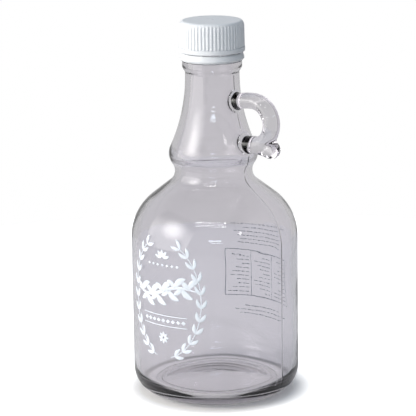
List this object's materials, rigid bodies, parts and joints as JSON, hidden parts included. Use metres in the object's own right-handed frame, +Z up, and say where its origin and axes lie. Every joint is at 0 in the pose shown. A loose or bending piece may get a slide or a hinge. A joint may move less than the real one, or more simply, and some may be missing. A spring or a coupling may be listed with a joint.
{
  "type": "glass jug",
  "caption": "Clear round glass jug with a loop handle on its ringed neck, domed shoulder, printed front and back, and a ribbed white screw cap over a tamper band.",
  "frame": {"origin": "centre of the foot, on the surface that the jug stands on", "axes": "+Z up along the jug's axis, +X towards the loop handle, -Y towards the printed front"},
  "size_m": [0.086, 0.086, 0.1941],
  "materials": {
    "clear_glass": "clear, smooth, faintly lilac grey",
    "cap_plastic": "white, satin, fine ribs",
    "band_plastic": "white, satin",
    "white_print": "thin white screen print, slightly translucent"
  },
  "bodies": {
    "root": {"jug_glass": "clear_glass", "screw_cap": "cap_plastic", "tamper_band": "band_plastic"}
  },
  "joints": []
}
